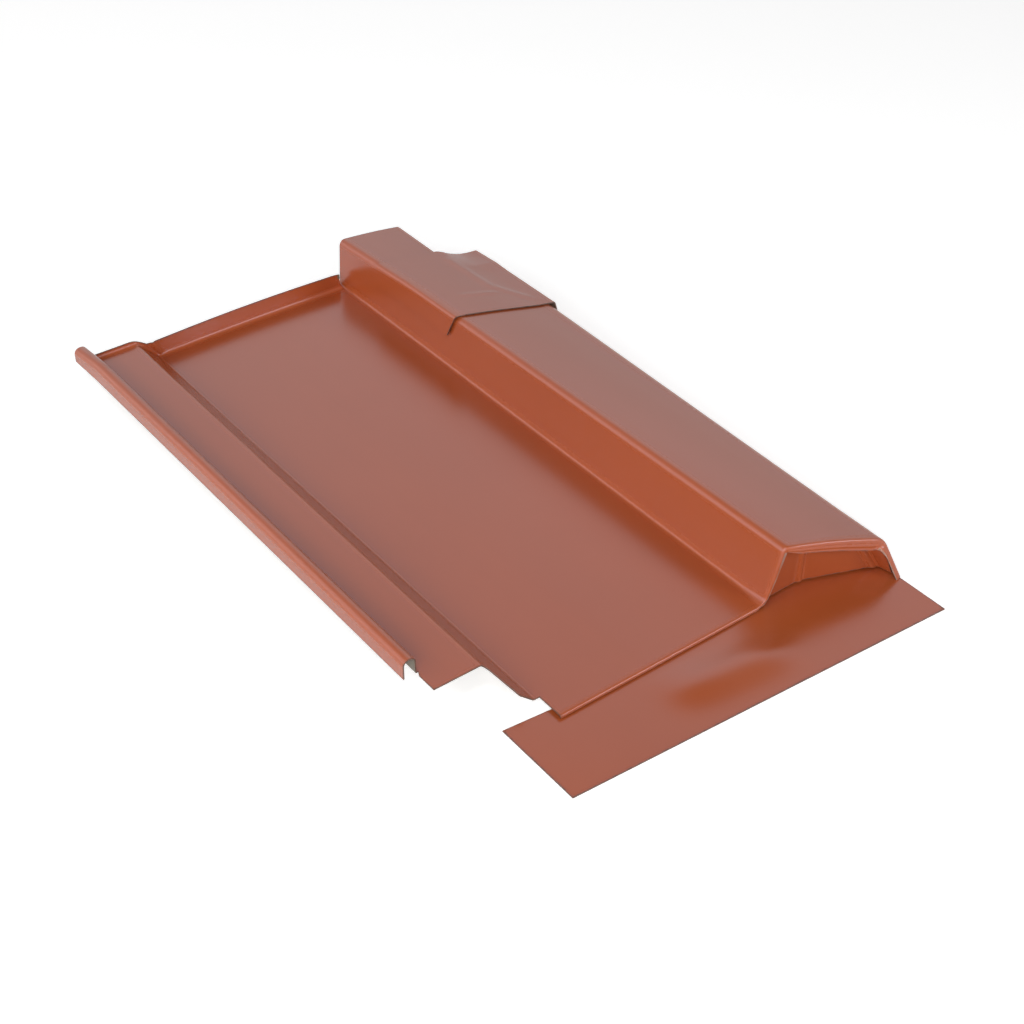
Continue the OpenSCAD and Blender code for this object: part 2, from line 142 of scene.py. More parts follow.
# The upstand's right end and its backward bow, and where its top rises from the pan's to the
# strip's, in shares of the riser's run
UPSTAND_END_LEAN, UPSTAND_END_DROP, UPSTAND_BACK = 0.5, 2.0, 0.2
UPSTAND_STEP_FROM, UPSTAND_STEP_RUN = 0.4, 0.8
PLEAT_FOOT, PLEAT_HEAD, PLEAT_H, PLEAT_HALF = 4.0, -2.5, 1.1, 1.3
PATCH_GAP, PATCH_R = 0.3, 2.6

# --- Places that follow from the sizes ---

X_STRIP = -RISER_RUN
X_FOOT = X_STRIP - STRIP_W
X_ROLL = X_FOOT - ROLL_W
X_FOLD = PAN_W
Y_TAIL = PAN_L + TAIL_L
Y_NARROW = PAN_L - NARROW_BACK
Z_SEAT = -LIP_DROP
Z_FOOT = Z_SEAT + FOOT_CLEAR
LAP = SHEET_T + LAP_GAP


def mix(a, b, u):
    return a + (b - a) * u


def clamp(u):
    return max(0.0, min(1.0, u))


def hump(offset, half, power=2):
    """1 at no offset, falling off smoothly to about a third at half."""
    return np.exp(-((offset / half) ** power))


def unit(v):
    return v / np.linalg.norm(v)


def bend(a, b, c, r, arc):
    """The points of a bend of radius r at corner b, between legs towards a and c."""
    a, b, c = (np.array(p, float) for p in (a, b, c))
    u, v = unit(a - b), unit(c - b)
    half = math.acos(float(np.clip(u @ v, -1, 1))) / 2
    middle = b + unit(u + v) * r / math.sin(half)
    start = b + u * r / math.tan(half) - middle
    end = b + v * r / math.tan(half) - middle
    turn = math.pi - 2 * half
    return [
        middle
        + (start * math.sin(turn * (1 - k / arc)) + end * math.sin(turn * k / arc)) / math.sin(turn)
        for k in range(arc + 1)
    ]


def path(corners, splits):
    """A path through corners (x, z, radius, steps in the bend), and each corner's first point.

    splits gives the steps in each straight run between the corners."""
    out = []
    starts = []
    for k, (x, z, r, arc) in enumerate(corners):
        here = (
            [np.array([x, z], float)]
            if r == 0
            else bend(corners[k - 1][:2], (x, z), corners[k + 1][:2], r, arc)
        )
        if out:
            last = out[-1]
            n = splits[k - 1]
            out += [mix(last, here[0], m / n) for m in range(1, n)]
        starts.append(len(out))
        out += here
    return np.array(out), starts


# --- Tray: its section at each y ---


def wide_share(y):
    return clamp(y / Y_NARROW)


def tail_share(y):
    return clamp((y - Y_NARROW) / (Y_TAIL - Y_NARROW))


def flare(y):
    return clamp((y - Y_NARROW) / FLARE_L)


def top_z(y):
    return BOX_H - TAIL_DIP * tail_share(y)


def top_at(y, w):
    """Height of the box's top at distance w from its left corner."""
    crown = mix(TOP_CROWN, REAR_CROWN, wide_share(y)) * math.sin(math.pi * clamp(w / CROWN_W))
    return top_z(y) - mix(TOP_FALL, TAIL_FALL, tail_share(y)) * w + crown


def lean(y):
    return mix(mix(LEAN_FRONT, LEAN_MID, wide_share(y)), LEAN_REAR, tail_share(y))


def x_left(y):
    return X_FOLD + lean(y)


def wide_right(y):
    return x_left(y) + mix(TOP_W_FRONT, TOP_W_REAR, wide_share(y))


X_TAIL = x_left(Y_TAIL) + TAIL_W


def x_top(y):
    return mix(wide_right(y), X_TAIL, flare(y))


def right_z(y):
    return top_at(y, x_top(y) - x_left(y))


def x_side(y):
    return x_top(y) + mix(RIGHT_LEAN, TAIL_LEAN, flare(y)) * (right_z(y) - Z_FOOT)


X_RIGHT = x_side(0)
# Where the CAD has the foot of the riser, the pan's front edge and the pan
apron_low, apron_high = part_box("front_apron")
SHIFT = np.array(
    [
        apron_high.x / MM - X_RIGHT,
        apron_low.y / MM + APRON_DEPTH_RIGHT,
        apron_low.z / MM + LIP_DROP + LAP,
    ]
)


def cut_share(y):
    """The share of the riser's run that is left beside the cut-out."""
    if y > STRIP_SETBACK:
        return RISER_LEFT
    u = clamp((y - RISER_SETBACK) / (STRIP_SETBACK - RISER_SETBACK))
    return mix(RISER_LEFT, RISER_LEFT_REAR, u)


def fold_r(y):
    return mix(FOLD_REAR_R, FOLD_FRONT_R, clamp(1 - y / FOLD_ROUND) ** 2)


def strip_edge(y):
    """The strip's right edge: it runs a little to the right towards the rear."""
    return X_STRIP + STRIP_TURN * clamp(y / PAN_L)


# Steps in the bend at the box's left corner, and the lines between the corners of the section
LEFT_ARC, TOP_LINES = 10, 14
WALL_LINES, SIDE_LINE = (0.4, 0.65), 0.6
# Shares of the riser's run: the line left of the cut-out's edge, and the two right of it
CUT_LINE, RISER_LINES = 0.4, (0.65, 0.35)


def tray_section(y):
    """The tray's section at y, from left to right, and the row where each corner starts."""
    pressed = clamp((y - Y_TAIL) / PRESS_L + 1)
    roll_top = STRIP_RISE + ROLL_H - ROLL_PRESS * pressed
    x_leg = X_ROLL - ROLL_SPLAY * pressed
    left, top = x_left(y), top_z(y)
    right, side = x_top(y), x_side(y)
    cut = cut_share(y)
    edge = strip_edge(y)
    corners = [
        # Roll and strip
        (x_leg, STRIP_RISE - ROLL_LEG, 0, 0),
        (x_leg, roll_top, ROLL_R, 10),
        (X_FOOT, roll_top, ROLL_R, 10),
        (X_FOOT, STRIP_RISE, FOOT_R, 5),
        (X_FOOT + UPSTAND_GAP_LEFT, STRIP_RISE, 0, 0),
        (edge, STRIP_RISE, RISER_R, 8),
        # Riser
        *[
            (edge * u, STRIP_RISE * u, 0, 0)
            for u in (mix(cut, 1, CUT_LINE), cut, *(RISER_LEFT * v for v in RISER_LINES))
        ],
        (0, 0, RISER_R, 8),
        # Pan, and the fold between it and the box
        (PAN_CUT_W, 0, 0, 0),
        (X_FOLD - UPSTAND_CORNER, 0, 0, 0),
        (X_FOLD, 0, fold_r(y), 12),
        # Box: left wall, top and right wall
        *[(mix(X_FOLD, left, u), top * u, 0, 0) for u in WALL_LINES],
        (left, top, LEFT_R, LEFT_ARC),
        (left + SHOULDER_W, top_at(y, SHOULDER_W), 0, 0),
        *[
            (left + w, top_at(y, w), 0, 0)
            for w in np.linspace(SHOULDER_W, right - left, TOP_LINES, endpoint=False)[1:]
        ],
        (right, right_z(y), RIGHT_R, 10),
        (mix(right, side, SIDE_LINE), mix(right_z(y), Z_FOOT, SIDE_LINE), 0, 0),
        (side, Z_FOOT, 0, 0),
    ]
    splits = [6, 1, 4, 2, 16, 2, 2, 4, 4, 4, 5, 44, 4, 3, 5, 4, 2]
    splits += [1] * (TOP_LINES - 1) + [1, 5, 6]
    return path(corners, splits)


ROW = tray_section(0)[1]
ROWS = len(tray_section(0)[0])
# The rows where the upstand, the riser beside the cut-out, the pan right of it, the fold, and the
# bend at the box's left corner start
UPSTAND_LEFT, RISER_CUT, PAN_CUT, FOLD, WALL_TOP = ROW[4], ROW[7], ROW[11], ROW[13], ROW[16]
TOP_LEFT = WALL_TOP + LEFT_ARC
TOP_RIGHT = ROW[-3]

# --- Tray: its front edge ---


def front_share(x):
    return clamp((x - x_left(0)) / TOP_W_FRONT)


def front_y(i, x):
    """The front edge at row i: it reaches forward over the box's top and right wall."""
    if i <= WALL_TOP:
        return 0.0
    side = clamp((x - x_top(0)) / (X_RIGHT - x_top(0)))
    return -TOP_REACH * front_share(x) - (BOX_REACH - TOP_REACH) * side


def strip_front_y(x):
    """The strip's front edge, rounded where it meets the cut-out in the riser."""
    u = clamp((x - X_STRIP) / (RISER_RUN * (1 - RISER_LEFT_REAR)))
    return STRIP_SETBACK - NOTCH_ROUND * (1 - math.sqrt(1 - u * u))


# The turned-in front edge: the steps in its bend, and the further lines on its face, each by its
# share of the depth and how far it stands in front
LIP_BEND = 6
LIP_LINES = (
    (0.2, 0.0), (0.34, 0.0), (0.42, 0.22), (0.55, 0.22),
    (0.63, 0.0), (0.78, 0.0), (0.86, 0.16), (1.0, 0.16),
)
LIP = LIP_BEND + len(LIP_LINES)
# The largest share of the face's depth that its bend takes
LIP_R_SHARE = 0.6
# The face's depth along the pan, at the fold, on the left wall and on the right wall
PAN_LIP, FOLD_LIP, WALL_LIP, SIDE_LIP = 1.5, 0.9, 3.4, 3.6
# The run over which it grows on the top's left, how much it shortens over the last share of the
# top, and how far round the right corner it starts to change
LIP_GROWTH, RIGHT_SHORT, SHORT_SHARE, SIDE_LIP_FROM = 6.0, 1.5, 0.125, 0.2


def lip_depth(i, x, z):
    """How far the turned-in front edge reaches inwards from the sheet at row i."""
    if i <= FOLD:
        return PAN_LIP
    if i <= WALL_TOP:
        return mix(FOLD_LIP, WALL_LIP, clamp(z / top_z(0)))
    if i <= TOP_LEFT:
        return WALL_LIP
    if i <= TOP_RIGHT:
        share = front_share(x)
        short = RIGHT_SHORT * clamp(1 - (1 - share) / SHORT_SHARE)
        grown = mix(TOP_LIP_LEFT, TOP_LIP_RIGHT, share) - short
        return mix(WALL_LIP, grown, clamp((x - x_left(0) - LEFT_R) / LIP_GROWTH))
    round_corner = clamp((right_z(0) - z) / RIGHT_R - SIDE_LIP_FROM)
    return mix(TOP_LIP_RIGHT - RIGHT_SHORT, SIDE_LIP, round_corner)


def turned_in_columns(front, section):
    """The turned-in front edge, from its inner rim to the sheet's front."""
    along = np.gradient(section, axis=0)
    along /= np.linalg.norm(along, axis=1, keepdims=True)
    columns = []
    for step in range(LIP, 0, -1):
        turn = math.pi / 2 * min(1.0, step / LIP_BEND)
        share, relief = LIP_LINES[step - LIP_BEND - 1] if step > LIP_BEND else (0.0, 0.0)
        column = front.copy()
        for i in range(ROWS):
            x, _, z = front[i]
            depth = lip_depth(i, x, z)
            r = min(LIP_R, depth * LIP_R_SHARE)
            inward = r * (1 - math.cos(turn)) + (depth - r) * share
            column[i, 0] += along[i, 1] * inward
            column[i, 1] -= r * math.sin(turn) + relief * clamp(depth / TOP_LIP_LEFT)
            column[i, 2] -= along[i, 0] * inward
        columns.append(column)
    return columns


# --- Tray: its upstand ---

# Steps in the upstand's bend, and above it
UP, UP_STRAIGHT = 10, 6


def upstand_top(x):
    u = clamp((-UPSTAND_STEP_FROM * RISER_RUN - x) / (UPSTAND_STEP_RUN * RISER_RUN))
    end = clamp((x - (X_FOLD - UPSTAND_CORNER)) / UPSTAND_CORNER)
    return mix(UPSTAND_H, STRIP_RISE + STRIP_UPSTAND_H, math.sin(math.pi / 2 * u)) - (
        UPSTAND_END_DROP * end * end
    )


def pleat(x, z):
    """How far the pleat in the upstand's left corner stands forward at a point of it."""
    return PLEAT_H * hump(x - mix(PLEAT_FOOT, PLEAT_HEAD, z / UPSTAND_H), PLEAT_HALF)


def upstand_columns(last):
    """The columns behind the last: the upstand, and beside it the rest of the roll and box."""
    tail = tray_section(Y_TAIL)[0]
    steps = UP + UP_STRAIGHT
    columns = []
    for k in range(1, steps + 1):
        column = np.zeros((ROWS, 3))
        turn = math.pi / 2 * min(1.0, k / UP)
        for i in range(ROWS):
            x, z = tail[i]
            if UPSTAND_LEFT <= i <= FOLD:
                h = upstand_top(x) - z
                rise = UPSTAND_R * (1 - math.cos(turn))
                rise += (h - UPSTAND_R) * max(0.0, (k - UP) / UP_STRAIGHT)
                aside = UPSTAND_END_LEAN * rise if i == FOLD else 0
                back = UPSTAND_BACK * math.sin(math.pi * clamp(x / X_FOLD)) * rise
                back -= pleat(x, z + rise) * min(1.0, rise / UPSTAND_R)
                column[i] = (x - aside, last[i, 1] + UPSTAND_R * math.sin(turn) + back, z + rise)
            else:
                u = k / steps
                column[i] = (
                    mix(last[i, 0], x, u),
                    mix(last[i, 1], Y_TAIL, u),
                    mix(last[i, 2], z, u),
                )
        columns.append(column)
    return columns


# --- Tray: the whole grid ---

# The y of each line where something changes along the tray, and the steps between these lines
STATIONS = [0, RISER_SETBACK, STRIP_SETBACK, ROLL_SETBACK]
STATIONS += [mix(ROLL_SETBACK, Y_NARROW, u) for u in (0.25, 0.45, 0.65, 0.83)]
STATIONS += [Y_NARROW, Y_NARROW + FLARE_L, Y_NARROW + FLARE_L * 2.5, Y_TAIL - PRESS_L]
STATIONS += [PAN_L - UPSTAND_R]
STATION_SPLITS = [7, 9, 6, 22, 16, 16, 14, 12, 6, 8, 10, 9]
# The stations where the riser, the strip and the roll start
AT_RISER, AT_STRIP, AT_ROLL = 1, 2, 3


def tray_line(s):
    """The tray's points along station s."""
    out = np.zeros((ROWS, 3))
    for i, (x, z) in enumerate(tray_section(STATIONS[s])[0]):
        y = STATIONS[s]
        if s == 0:
            y = front_y(i, x)
        elif s == AT_STRIP:
            y = strip_front_y(x)
        out[i] = (x, y, z)
    return out


def tray_columns():
    """The tray's middle surface as rows and columns of points, the column where each station
    starts, and the column where the upstand does."""
    columns = turned_in_columns(tray_line(0), tray_section(0)[0])
    starts = []
    for s, n in enumerate(STATION_SPLITS):
        a, b = tray_line(s), tray_line(s + 1)
        run = [mix(a, b, k / n) for k in range(n)]
        if s <= AT_STRIP:
            for column in run:
                column[UPSTAND_LEFT - 1, 0] -= STRIP_OUT
        starts.append(len(columns))
        columns += run
    bend_at = len(columns)
    last = tray_line(len(STATIONS) - 1)
    columns.append(last)
    columns += upstand_columns(last)
    return np.stack(columns, 1), starts, bend_at


def tray_keep(cols, starts, bend_at):
    """Which cells of the grid are sheet: not those in the cut-outs or beside the upstand."""
    keep = np.zeros((ROWS - 1, cols - 1), bool)
    for i in range(ROWS - 1):
        if i < UPSTAND_LEFT - 1:
            keep[i, starts[AT_ROLL] :] = True
        elif i == UPSTAND_LEFT - 1:
            keep[i, starts[AT_STRIP] : bend_at] = True
        elif i < RISER_CUT:
            keep[i, starts[AT_STRIP] :] = True
        elif i < PAN_CUT:
            keep[i, starts[AT_RISER] :] = True
        else:
            keep[i, :] = True
    return keep


# --- Sheets from grids ---

# Each face's material, in the order of MATERIALS
PAINTED, BACKING, CUT_EDGE, HIGHLIGHT_STRIP = range(4)
# Rounds of the search for the nearest edge, and the farthest distance it tells, in millimetres
EDGE_ROUNDS, EDGE_FAR = 30, 60
# A distance larger than any in the grid, and the smallest between two points that counts
UNSEARCHED, NO_LENGTH = 1e3, 1e-6
# The radius in millimetres at which a bend counts in full, and the angle in degrees of a crease
SHARP_R, CREASE_ANGLE = 3, 50


def grid_normals(points, keep):
    """A unit normal for each point of a grid, from the cells that are kept around it."""
    a, b, c, d = points[:-1, :-1], points[:-1, 1:], points[1:, 1:], points[1:, :-1]
    n = np.cross(c - a, b - d)
    n[~keep] = 0
    total = np.zeros_like(points)
    total[:-1, :-1] += n
    total[:-1, 1:] += n
    total[1:, 1:] += n
    total[1:, :-1] += n
    size = np.linalg.norm(total, axis=2, keepdims=True)
    return total / np.maximum(size, 1e-12)


def edge_distance(points, keep):
    """For each point, roughly how far it is from the nearest cut edge, in millimetres."""
    rows, cols = keep.shape
    count = np.zeros((rows + 1, cols + 1), int)
    for di in (0, 1):
        for dj in (0, 1):
            count[di : rows + di, dj : cols + dj] += keep
    far = np.where(count == 4, UNSEARCHED, 0.0)
    along_j = np.linalg.norm(np.diff(points, axis=1), axis=2)
    along_i = np.linalg.norm(np.diff(points, axis=0), axis=2)
    for _ in range(EDGE_ROUNDS):
        far[:, 1:] = np.minimum(far[:, 1:], far[:, :-1] + along_j)
        far[:, :-1] = np.minimum(far[:, :-1], far[:, 1:] + along_j)
        far[1:, :] = np.minimum(far[1:, :], far[:-1, :] + along_i)
        far[:-1, :] = np.minimum(far[:-1, :], far[1:, :] + along_i)
    return np.minimum(far, EDGE_FAR)


def front_distance(points):
    """For each point, how far it is from the grid's first column, in millimetres."""
    far = np.zeros(points.shape[:2])
    far[:, 1:] = np.cumsum(np.linalg.norm(np.diff(points, axis=1), axis=2), axis=1)
    return np.minimum(far, EDGE_FAR)


def curvature(points, normals):
    """How sharply the sheet is bent at each point: 1 for a radius of SHARP_R or less."""
    out = np.zeros(points.shape[:2])
    for axis in (0, 1):
        dp = np.linalg.norm(np.diff(points, axis=axis), axis=2)
        dn = np.linalg.norm(np.diff(normals, axis=axis), axis=2)
        k = np.where(dp > NO_LENGTH, dn / np.maximum(dp, NO_LENGTH), 0) * SHARP_R
        if axis == 0:
            out[:-1] = np.maximum(out[:-1], k)
            out[1:] = np.maximum(out[1:], k)
        else:
            out[:, :-1] = np.maximum(out[:, :-1], k)
            out[:, 1:] = np.maximum(out[:, 1:], k)
    return np.clip(out, 0, 1)


def used_points(keep):
    """Which points of a grid are a corner of a kept cell."""
    used = np.zeros((keep.shape[0] + 1, keep.shape[1] + 1), bool)
    used[:-1, :-1] |= keep
    used[:-1, 1:] |= keep
    used[1:, 1:] |= keep
    used[1:, :-1] |= keep
    return used


def sheet_faces(keep, used, rim, highlight_cells):
    """The faces of a closed sheet around the kept cells, and the material of each."""
    count = int(used.sum())
    number = -np.ones(used.shape, int)
    number[used] = np.arange(count)
    rows, cols = keep.shape
    faces, kinds = [], []
    for i, j in np.argwhere(keep):
        a, b, c, d = number[i, j], number[i, j + 1], number[i + 1, j + 1], number[i + 1, j]
        faces.append((a, d, c, b))
        # Cells marked for it take the strip of painted highlight in place of paint
        kinds.append(HIGHLIGHT_STRIP if highlight_cells is not None and highlight_cells[i, j] else PAINTED)
        faces.append((a + count, b + count, c + count, d + count))
        kinds.append(BACKING)
        sides = []
        if i == 0 or not keep[i - 1, j]:
            sides.append((a, b, rim))
        if i == rows - 1 or not keep[i + 1, j]:
            sides.append((c, d, rim))
        if j == 0 or not keep[i, j - 1]:
            sides.append((d, a, CUT_EDGE))
        if j == cols - 1 or not keep[i, j + 1]:
            sides.append((b, c, rim))
        for p, q, kind in sides:
            faces.append((p, q, q + count, p + count))
            kinds.append(kind)
    return faces, kinds


def sheet_object(name, node, points, keep=None, coated_rims=False, highlight_cells=None):
    """A closed sheet around a grid of middle points, in place of a CAD node.

    The face in front of the normals is painted and stands out as far as the CAD's. The back and
    the cut edges have materials of their own. With coated_rims only the rim at the grid's first
    column is a cut edge, and only beside it is the paint darkened, as wear and painted shade. The
    last argument marks the cells whose painted face takes the strip of painted highlight instead."""
    if keep is None:
        keep = np.ones((points.shape[0] - 1, points.shape[1] - 1), bool)
    normals = grid_normals(points, keep)
    far = front_distance(points) if coated_rims else edge_distance(points, keep)
    bent = curvature(points, normals)
    used = used_points(keep)
    front = points[used] + normals[used] * (SHEET_T / 2)
    rear = points[used] + normals[used] * (SHEET_T / 2 - VISIBLE_T)
    verts = (np.concatenate([front, rear]) + SHIFT) * MM
    verts = np.clip(verts, cad_box[0], cad_box[1])
    faces, kinds = sheet_faces(keep, used, PAINTED if coated_rims else CUT_EDGE, highlight_cells)
    mesh = bpy.data.meshes.new(name)
    mesh.from_pydata(verts.tolist(), [], faces)
    for value, label in ((far, "edge_mm"), (bent, "bent")):
        attribute = mesh.attributes.new(label, "FLOAT", "POINT")
        attribute.data.foreach_set(
            "value", np.concatenate([value[used], value[used]]).astype(np.float32)
        )
    for material in MATERIALS:
        mesh.materials.append(material)
    mesh.polygons.foreach_set("material_index", kinds)
    mesh.polygons.foreach_set("use_smooth", [True] * len(faces))
    mesh.update()
    mesh.validate()
    mesh.set_sharp_from_angle(angle=math.radians(CREASE_ANGLE))
    obj = bpy.data.objects.new(name, mesh)
    bpy.context.scene.collection.objects.link(obj)
    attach(obj, "root")
    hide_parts(node)
    return obj


# --- Materials ---


class Nodes:
    """Adds linked nodes to a material."""

    def __init__(self, name):
        self.material = bpy.data.materials.new(name)
        self.material.use_nodes = True
        self.tree = self.material.node_tree
        self.shader = self.tree.nodes["Principled BSDF"]

    def add(self, kind, inputs=(), **settings):
        node = self.tree.nodes.new(kind)
        for key, value in settings.items():
            setattr(node, key, value)
        for key, value in dict(inputs).items():
            self.put(node, key, value)
        return node

    def put(self, node, key, value):
        if isinstance(value, bpy.types.NodeSocket):
            self.tree.links.new(value, node.inputs[key])
        else:
            node.inputs[key].default_value = value

    def noise(self, scale, detail, stretch=(1, 1, 1)):
        coordinates = self.add("ShaderNodeTexCoord").outputs["Object"]
        mapped = self.add("ShaderNodeMapping", {"Vector": coordinates, "Scale": stretch})
        return self.add(
            "ShaderNodeTexNoise",
            {"Vector": mapped.outputs[0], "Scale": scale, "Detail": detail},
        ).outputs["Fac"]

    def remap(self, value, low, high, to_low, to_high):
        ends = {"From Min": low, "From Max": high, "To Min": to_low, "To Max": to_high}
        return self.add("ShaderNodeMapRange", {"Value": value, **ends}).outputs["Result"]

    def math(self, operation, a, b):
        return self.add("ShaderNodeMath", {0: a, 1: b}, operation=operation).outputs[0]

    def blend(self, share, a, b):
        node = self.add("ShaderNodeMix", data_type="RGBA")
        self.put(node, 0, share)
        self.put(node, 6, a)
        self.put(node, 7, b)
        return node.outputs[2]

    def attribute(self, name):
        return self.add("ShaderNodeAttribute", attribute_name=name).outputs["Fac"]

    def bump(self, height, distance, strength, normal=None):
        inputs = {"Height": height, "Distance": distance, "Strength": strength}
        if normal is not None:
            inputs["Normal"] = normal
        return self.add("ShaderNodeBump", inputs).outputs["Normal"]


def srgb(r, g, b):
    def linear(c):
        c /= 255
        return c / 12.92 if c <= 0.04045 else ((c + 0.055) / 1.055) ** 2.4

    return (linear(r), linear(g), linear(b), 1.0)


# The sheet comes off a coil, so its streaks run along y
COIL_RUN = (1, 0.04, 1)


def painted_material():
    """Brick-orange coil coating: semi-gloss, faint orange peel, darkened a little at the edges as
    wear and painted shade, and lighter on the bends as a painted highlight.
    """
    n = Nodes("painted_steel")
    broad = n.noise(9, 3)
    fine = n.noise(420, 2)
    streaks = n.noise(60, 2, COIL_RUN)
    colour = n.blend(n.remap(broad, 0.3, 0.7, 0, 1), srgb(172, 83, 42), srgb(176, 86, 45))
    colour = n.blend(n.remap(fine, 0.35, 0.75, 0, 0.08), colour, srgb(168, 80, 41))
    colour = n.blend(n.remap(streaks, 0.5, 0.8, 0, 0.2), colour, srgb(181, 91, 50))
    # Paint darkened within a millimetre of an edge, partly chipped wear and partly painted shade,
    # and lightened on the bends as a painted highlight
    near_edge = n.remap(n.attribute("edge_mm"), 0.3, 1.0, 1, 0)
    chips_and_shade = n.remap(n.noise(300, 2), 0.4, 0.6, 0.35, 0.9)
    wear_and_shade = n.math("MULTIPLY", near_edge, chips_and_shade)
    colour = n.blend(wear_and_shade, colour, srgb(104, 66, 52))
    # Painted highlight: a lighter orange blended in patches onto the sharper bends
    bent = n.math("MULTIPLY", n.attribute("bent"), n.remap(n.noise(150, 2), 0.3, 0.7, 0.2, 0.4))
    colour = n.blend(bent, colour, srgb(192, 100, 56))
    n.put(n.shader, "Base Color", colour)
    rough = n.remap(streaks, 0.2, 0.8, 0.235, 0.265)
    rough = n.math("ADD", rough, n.remap(fine, 0.3, 0.7, -0.005, 0.005))
    rough = n.math("ADD", rough, n.remap(wear_and_shade, 0, 1, 0, 0.25))
    rough = n.math("ADD", rough, n.remap(n.attribute("bent"), 0, 1, 0, 0.05))
    n.put(n.shader, "Roughness", rough)
    rolled = n.bump(n.noise(60, 0, COIL_RUN), 0.00003, 0.3)
    n.put(n.shader, "Normal", n.bump(n.noise(14, 0), 0.0003, 0.35, rolled))
    n.put(n.shader, "IOR", 1.62)
    n.put(n.shader, "Specular Tint", (0.74, 0.83, 1.0, 1.0))
    return n.material


def backing_material():
    """Grey-olive backing coat on the sheet's underside."""
    n = Nodes("backing_coat")
    broad = n.noise(12, 3)
    fine = n.noise(500, 2)
    colour = n.blend(n.remap(broad, 0.3, 0.7, 0, 1), srgb(124, 111, 92), srgb(140, 126, 105))
    colour = n.blend(n.remap(fine, 0.4, 0.8, 0, 0.35), colour, srgb(112, 104, 90))
    n.put(n.shader, "Base Color", colour)
    n.put(n.shader, "Roughness", n.remap(fine, 0.3, 0.7, 0.38, 0.5))
    n.put(n.shader, "Normal", n.bump(n.noise(700, 1), 0.00002, 0.5))
    return n.material


def sheared_edge_shade_material():
    """Sheared zinc-coated steel with smears of paint, its dark brown partly painted shade along the
    edges.
    """
    n = Nodes("sheared_edge_with_shade")
    shear = n.noise(1500, 2, (1, 1, 0.2))
    smear = n.noise(180, 3)
    # Dark brown: partly the sheared edge's own colour, partly painted shade
    colour = n.blend(n.remap(shear, 0.3, 0.7, 0, 1), srgb(84, 66, 58), srgb(112, 92, 82))
    colour = n.blend(n.remap(smear, 0.4, 0.7, 0, 0.6), colour, srgb(128, 74, 52))
    n.put(n.shader, "Base Color", colour)
    n.put(n.shader, "Roughness", n.remap(shear, 0.3, 0.7, 0.5, 0.65))
    n.put(n.shader, "Metallic", n.remap(smear, 0.4, 0.7, 0.15, 0.0))
    n.put(n.shader, "Normal", n.bump(shear, 0.00003, 0.4))
    return n.material


def highlight_strip_material():
    """A painted highlight on strips of the turned-in edge: a light, partly metallic colour like
    zinc-coated steel, smeared with orange.
    """
    n = Nodes("painted_highlight_strip")
    highlight_grain = n.noise(260, 3, (1, 1, 0.3))
    smear = n.noise(120, 2)
    colour = n.blend(n.remap(highlight_grain, 0.3, 0.7, 0, 1), srgb(158, 122, 110), srgb(186, 148, 132))
    colour = n.blend(n.remap(smear, 0.45, 0.7, 0, 0.7), colour, srgb(172, 90, 52))
    n.put(n.shader, "Base Color", colour)
    n.put(n.shader, "Roughness", n.remap(highlight_grain, 0.3, 0.7, 0.35, 0.5))
    n.put(n.shader, "Metallic", n.remap(smear, 0.4, 0.7, 0.3, 0.0))
    n.put(n.shader, "Normal", n.bump(highlight_grain, 0.00003, 0.4))
    return n.material


# In the order of PAINTED, BACKING, CUT_EDGE and HIGHLIGHT_STRIP
MATERIALS = [painted_material(), backing_material(), sheared_edge_shade_material(), highlight_strip_material()]

# --- Tray ---

# Strips of painted highlight on the turned-in edge's face on the box's walls: the rows from the
# fold and from the top's right corner at which they start, and the columns that each takes up from
# the inner rim
HIGHLIGHT_PAST_FOLD, HIGHLIGHT_PAST_TOP = 3, 6
HIGHLIGHT_LEFT, HIGHLIGHT_RIGHT = 8, 3


def make_tray():
    points, starts, bend_at = tray_columns()
    keep = tray_keep(points.shape[1], starts, bend_at)
    # Strips of painted highlight along the turned-in edge on the walls
    highlight_cells = np.zeros_like(keep)
    highlight_cells[FOLD + HIGHLIGHT_PAST_FOLD : WALL_TOP, :HIGHLIGHT_LEFT] = True
    highlight_cells[TOP_RIGHT + HIGHLIGHT_PAST_TOP :, :HIGHLIGHT_RIGHT] = True
    sheet_object("tray", "tray_sheet", points, keep, highlight_cells=highlight_cells)


# --- Cover patch ---

Y_PATCH_REAR = PAN_L - PATCH_BACK
Y_PATCH_FRONT = Y_PATCH_REAR - PATCH_L
# Its rear edge steps forward by PATCH_STEP between these distances across it
STEP_FROM, STEP_TO = TAIL_W - 4, TAIL_W + 5
PATCH_RIGHT = wide_right(Y_NARROW) + PATCH_OVERHANG
# Lines across it and steps along it, and the lines left out at both ends, where it bends
PATCH_ACROSS, PATCH_ALONG, SKIP_LEFT, SKIP_RIGHT = 56, 72, 4, 3
# Steps in its flanges and in its left bend
FLANGE_STEPS, RIGHT_FLANGE_STEPS, PATCH_ARC = 8, 5, 10

# Its creases: both ends (distance across, y), height and half width. Each fades out over
# CREASE_FADE past its ends.
CREASES = (
    ((50, 388), (51, 345), 0.6, 3.6),
    ((51, 345), (66, 322), 0.45, 3.2),
    ((24, 337), (45, 334), 0.35, 2.4),
)
CREASE_FADE = 5


def crease(y, w):
    """Height of the patch's creases at a point of it."""
    total = 0.0
    for (w0, y0), (w1, y1), height, half in CREASES:
        run = math.hypot(w1 - w0, y1 - y0)
        u = ((w - w0) * (w1 - w0) + (y - y0) * (y1 - y0)) / run
        off = ((w - w0) * (y1 - y0) - (y - y0) * (w1 - w0)) / run
        beyond = max(0.0, -u, u - run)
        total = max(total, height * hump(off, half) * hump(beyond, CREASE_FADE))
    return total


